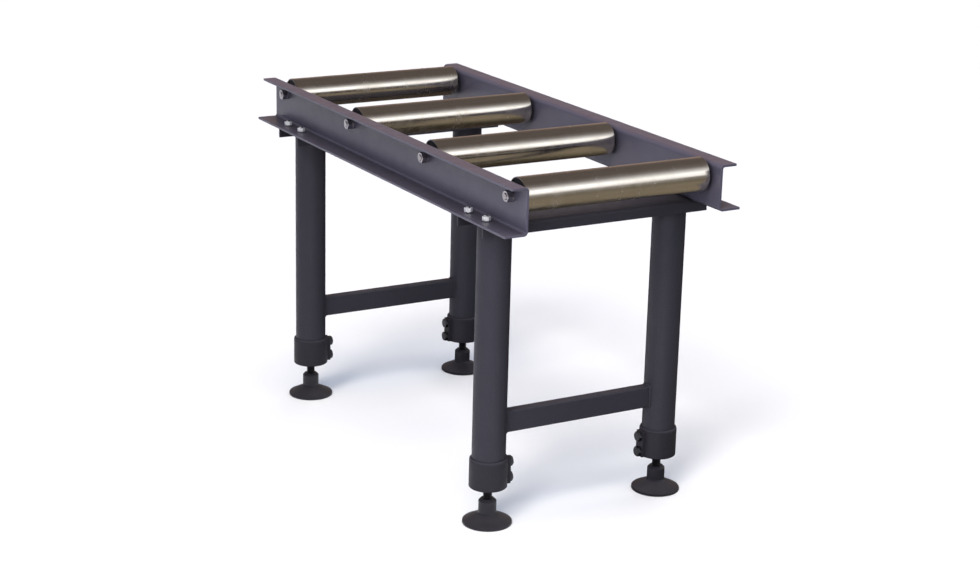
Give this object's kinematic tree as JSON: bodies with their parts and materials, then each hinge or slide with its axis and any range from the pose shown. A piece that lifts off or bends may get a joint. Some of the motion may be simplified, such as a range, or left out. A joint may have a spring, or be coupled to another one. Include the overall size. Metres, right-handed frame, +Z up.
{
  "type": "roller table",
  "caption": "Free-standing roller table: steel rollers turning between channel rails, on leg frames with telescopic legs, clamp screws and levelling feet.",
  "frame": {"origin": "on the floor, under the middle of the table", "axes": "+X along the rails towards the front end, +Y along the rollers towards the right rail as seen from the front end looking along the table, +Z up"},
  "size_m": [1, 0.468, 0.643],
  "materials": {
    "frame_paint": "satin anthracite paint",
    "roller_steel": "turned and polished steel",
    "cap_black": "moulded black",
    "bearing_steel": "ground steel",
    "axle_steel": "drawn bright steel",
    "zinc": "bright zinc plating",
    "bright_steel": "drawn tube, lightly oiled",
    "black_steel": "blackened steel",
    "foot_plastic": "moulded, slightly grained"
  },
  "bodies": {
    "frame": {"left_rail": "frame_paint", "right_rail": "frame_paint", "axle_washers": "zinc", "axle_nuts": "zinc", "frame_bolts": "zinc", "frame_washers": "zinc", "frame_nuts": "zinc", "roller_1_axle": "axle_steel", "roller_2_axle": "axle_steel", "roller_3_axle": "axle_steel", "roller_4_axle": "axle_steel", "front_top_crosspiece": "frame_paint", "front_lower_crossbar": "frame_paint", "front_left_leg_tube": "frame_paint", "front_left_leg_collar": "frame_paint", "front_right_leg_tube": "frame_paint", "front_right_leg_collar": "frame_paint", "rear_top_crosspiece": "frame_paint", "rear_lower_crossbar": "frame_paint", "rear_left_leg_tube": "frame_paint", "rear_left_leg_collar": "frame_paint", "rear_right_leg_tube": "frame_paint", "rear_right_leg_collar": "frame_paint"},
    "roller_1": {"roller_1_tube": "roller_steel", "roller_1_end_caps": "cap_black", "roller_1_bearings": "bearing_steel"},
    "roller_2": {"roller_2_tube": "roller_steel", "roller_2_end_caps": "cap_black", "roller_2_bearings": "bearing_steel"},
    "roller_3": {"roller_3_tube": "roller_steel", "roller_3_end_caps": "cap_black", "roller_3_bearings": "bearing_steel"},
    "roller_4": {"roller_4_tube": "roller_steel", "roller_4_end_caps": "cap_black", "roller_4_bearings": "bearing_steel"},
    "front_left_inner_leg": {"front_left_inner_leg": "bright_steel", "front_left_leg_plug": "black_steel"},
    "front_left_foot": {"front_left_foot_pad": "foot_plastic"},
    "front_left_stud": {"front_left_foot_stud": "black_steel"},
    "front_left_lower_clamp_screw": {"front_left_lower_clamp_screw": "black_steel"},
    "front_left_upper_clamp_screw": {"front_left_upper_clamp_screw": "black_steel"},
    "front_right_inner_leg": {"front_right_inner_leg": "bright_steel", "front_right_leg_plug": "black_steel"},
    "front_right_foot": {"front_right_foot_pad": "foot_plastic"},
    "front_right_stud": {"front_right_foot_stud": "black_steel"},
    "front_right_lower_clamp_screw": {"front_right_lower_clamp_screw": "black_steel"},
    "front_right_upper_clamp_screw": {"front_right_upper_clamp_screw": "black_steel"},
    "rear_left_inner_leg": {"rear_left_inner_leg": "bright_steel", "rear_left_leg_plug": "black_steel"},
    "rear_left_foot": {"rear_left_foot_pad": "foot_plastic"},
    "rear_left_stud": {"rear_left_foot_stud": "black_steel"},
    "rear_left_lower_clamp_screw": {"rear_left_lower_clamp_screw": "black_steel"},
    "rear_left_upper_clamp_screw": {"rear_left_upper_clamp_screw": "black_steel"},
    "rear_right_inner_leg": {"rear_right_inner_leg": "bright_steel", "rear_right_leg_plug": "black_steel"},
    "rear_right_foot": {"rear_right_foot_pad": "foot_plastic"},
    "rear_right_stud": {"rear_right_foot_stud": "black_steel"},
    "rear_right_lower_clamp_screw": {"rear_right_lower_clamp_screw": "black_steel"},
    "rear_right_upper_clamp_screw": {"rear_right_upper_clamp_screw": "black_steel"}
  },
  "joints": [
    {"name": "roller_1_turn", "type": "hinge", "parent": "frame", "child": "roller_1", "pos_m": [-0.45, 0, 0.613], "axis": [0, 1, 0], "continuous": true},
    {"name": "roller_2_turn", "type": "hinge", "parent": "frame", "child": "roller_2", "pos_m": [-0.15, 0, 0.613], "axis": [0, 1, 0], "continuous": true},
    {"name": "roller_3_turn", "type": "hinge", "parent": "frame", "child": "roller_3", "pos_m": [0.15, 0, 0.613], "axis": [0, 1, 0], "continuous": true},
    {"name": "roller_4_turn", "type": "hinge", "parent": "frame", "child": "roller_4", "pos_m": [0.45, 0, 0.613], "axis": [0, 1, 0], "continuous": true},
    {"name": "front_left_leg_extend", "type": "slide", "parent": "frame", "child": "front_left_inner_leg", "axis": [0, 0, -1], "range_m": [0, 0.3]},
    {"name": "front_left_foot_extend", "type": "slide", "parent": "front_left_inner_leg", "child": "front_left_foot", "axis": [0, 0, -1], "range_m": [0, 0.03]},
    {"name": "front_left_stud_turn", "type": "hinge", "parent": "front_left_foot", "child": "front_left_stud", "pos_m": [0.37, -0.178, 0.06], "axis": [0, 0, -1], "range_deg": [0, 5401]},
    {"name": "front_left_lower_clamp_screw_turn", "type": "hinge", "parent": "frame", "child": "front_left_lower_clamp_screw", "pos_m": [0.37, -0.138, 0.08], "axis": [0, 1, 0], "range_deg": [0, 720]},
    {"name": "front_left_upper_clamp_screw_turn", "type": "hinge", "parent": "frame", "child": "front_left_upper_clamp_screw", "pos_m": [0.37, -0.138, 0.109], "axis": [0, 1, 0], "range_deg": [0, 720]},
    {"name": "front_right_leg_extend", "type": "slide", "parent": "frame", "child": "front_right_inner_leg", "axis": [0, 0, -1], "range_m": [0, 0.3]},
    {"name": "front_right_foot_extend", "type": "slide", "parent": "front_right_inner_leg", "child": "front_right_foot", "axis": [0, 0, -1], "range_m": [0, 0.03]},
    {"name": "front_right_stud_turn", "type": "hinge", "parent": "front_right_foot", "child": "front_right_stud", "pos_m": [0.37, 0.178, 0.06], "axis": [0, 0, -1], "range_deg": [0, 5401]},
    {"name": "front_right_lower_clamp_screw_turn", "type": "hinge", "parent": "frame", "child": "front_right_lower_clamp_screw", "pos_m": [0.37, 0.138, 0.08], "axis": [0, -1, 0], "range_deg": [0, 720]},
    {"name": "front_right_upper_clamp_screw_turn", "type": "hinge", "parent": "frame", "child": "front_right_upper_clamp_screw", "pos_m": [0.37, 0.138, 0.109], "axis": [0, -1, 0], "range_deg": [0, 720]},
    {"name": "rear_left_leg_extend", "type": "slide", "parent": "frame", "child": "rear_left_inner_leg", "axis": [0, 0, -1], "range_m": [0, 0.3]},
    {"name": "rear_left_foot_extend", "type": "slide", "parent": "rear_left_inner_leg", "child": "rear_left_foot", "axis": [0, 0, -1], "range_m": [0, 0.03]},
    {"name": "rear_left_stud_turn", "type": "hinge", "parent": "rear_left_foot", "child": "rear_left_stud", "pos_m": [-0.37, -0.178, 0.06], "axis": [0, 0, -1], "range_deg": [0, 5401]},
    {"name": "rear_left_lower_clamp_screw_turn", "type": "hinge", "parent": "frame", "child": "rear_left_lower_clamp_screw", "pos_m": [-0.37, -0.138, 0.08], "axis": [0, 1, 0], "range_deg": [0, 720]},
    {"name": "rear_left_upper_clamp_screw_turn", "type": "hinge", "parent": "frame", "child": "rear_left_upper_clamp_screw", "pos_m": [-0.37, -0.138, 0.109], "axis": [0, 1, 0], "range_deg": [0, 720]},
    {"name": "rear_right_leg_extend", "type": "slide", "parent": "frame", "child": "rear_right_inner_leg", "axis": [0, 0, -1], "range_m": [0, 0.3]},
    {"name": "rear_right_foot_extend", "type": "slide", "parent": "rear_right_inner_leg", "child": "rear_right_foot", "axis": [0, 0, -1], "range_m": [0, 0.03]},
    {"name": "rear_right_stud_turn", "type": "hinge", "parent": "rear_right_foot", "child": "rear_right_stud", "pos_m": [-0.37, 0.178, 0.06], "axis": [0, 0, -1], "range_deg": [0, 5401]},
    {"name": "rear_right_lower_clamp_screw_turn", "type": "hinge", "parent": "frame", "child": "rear_right_lower_clamp_screw", "pos_m": [-0.37, 0.138, 0.08], "axis": [0, -1, 0], "range_deg": [0, 720]},
    {"name": "rear_right_upper_clamp_screw_turn", "type": "hinge", "parent": "frame", "child": "rear_right_upper_clamp_screw", "pos_m": [-0.37, 0.138, 0.109], "axis": [0, -1, 0], "range_deg": [0, 720]}
  ],
  "couplings": [
    {"joint": "front_left_stud_turn", "follows": "front_left_foot_extend", "rad_per_m": 3141.6},
    {"joint": "front_right_stud_turn", "follows": "front_right_foot_extend", "rad_per_m": 3141.6},
    {"joint": "rear_left_stud_turn", "follows": "rear_left_foot_extend", "rad_per_m": 3141.6},
    {"joint": "rear_right_stud_turn", "follows": "rear_right_foot_extend", "rad_per_m": 3141.6}
  ]
}
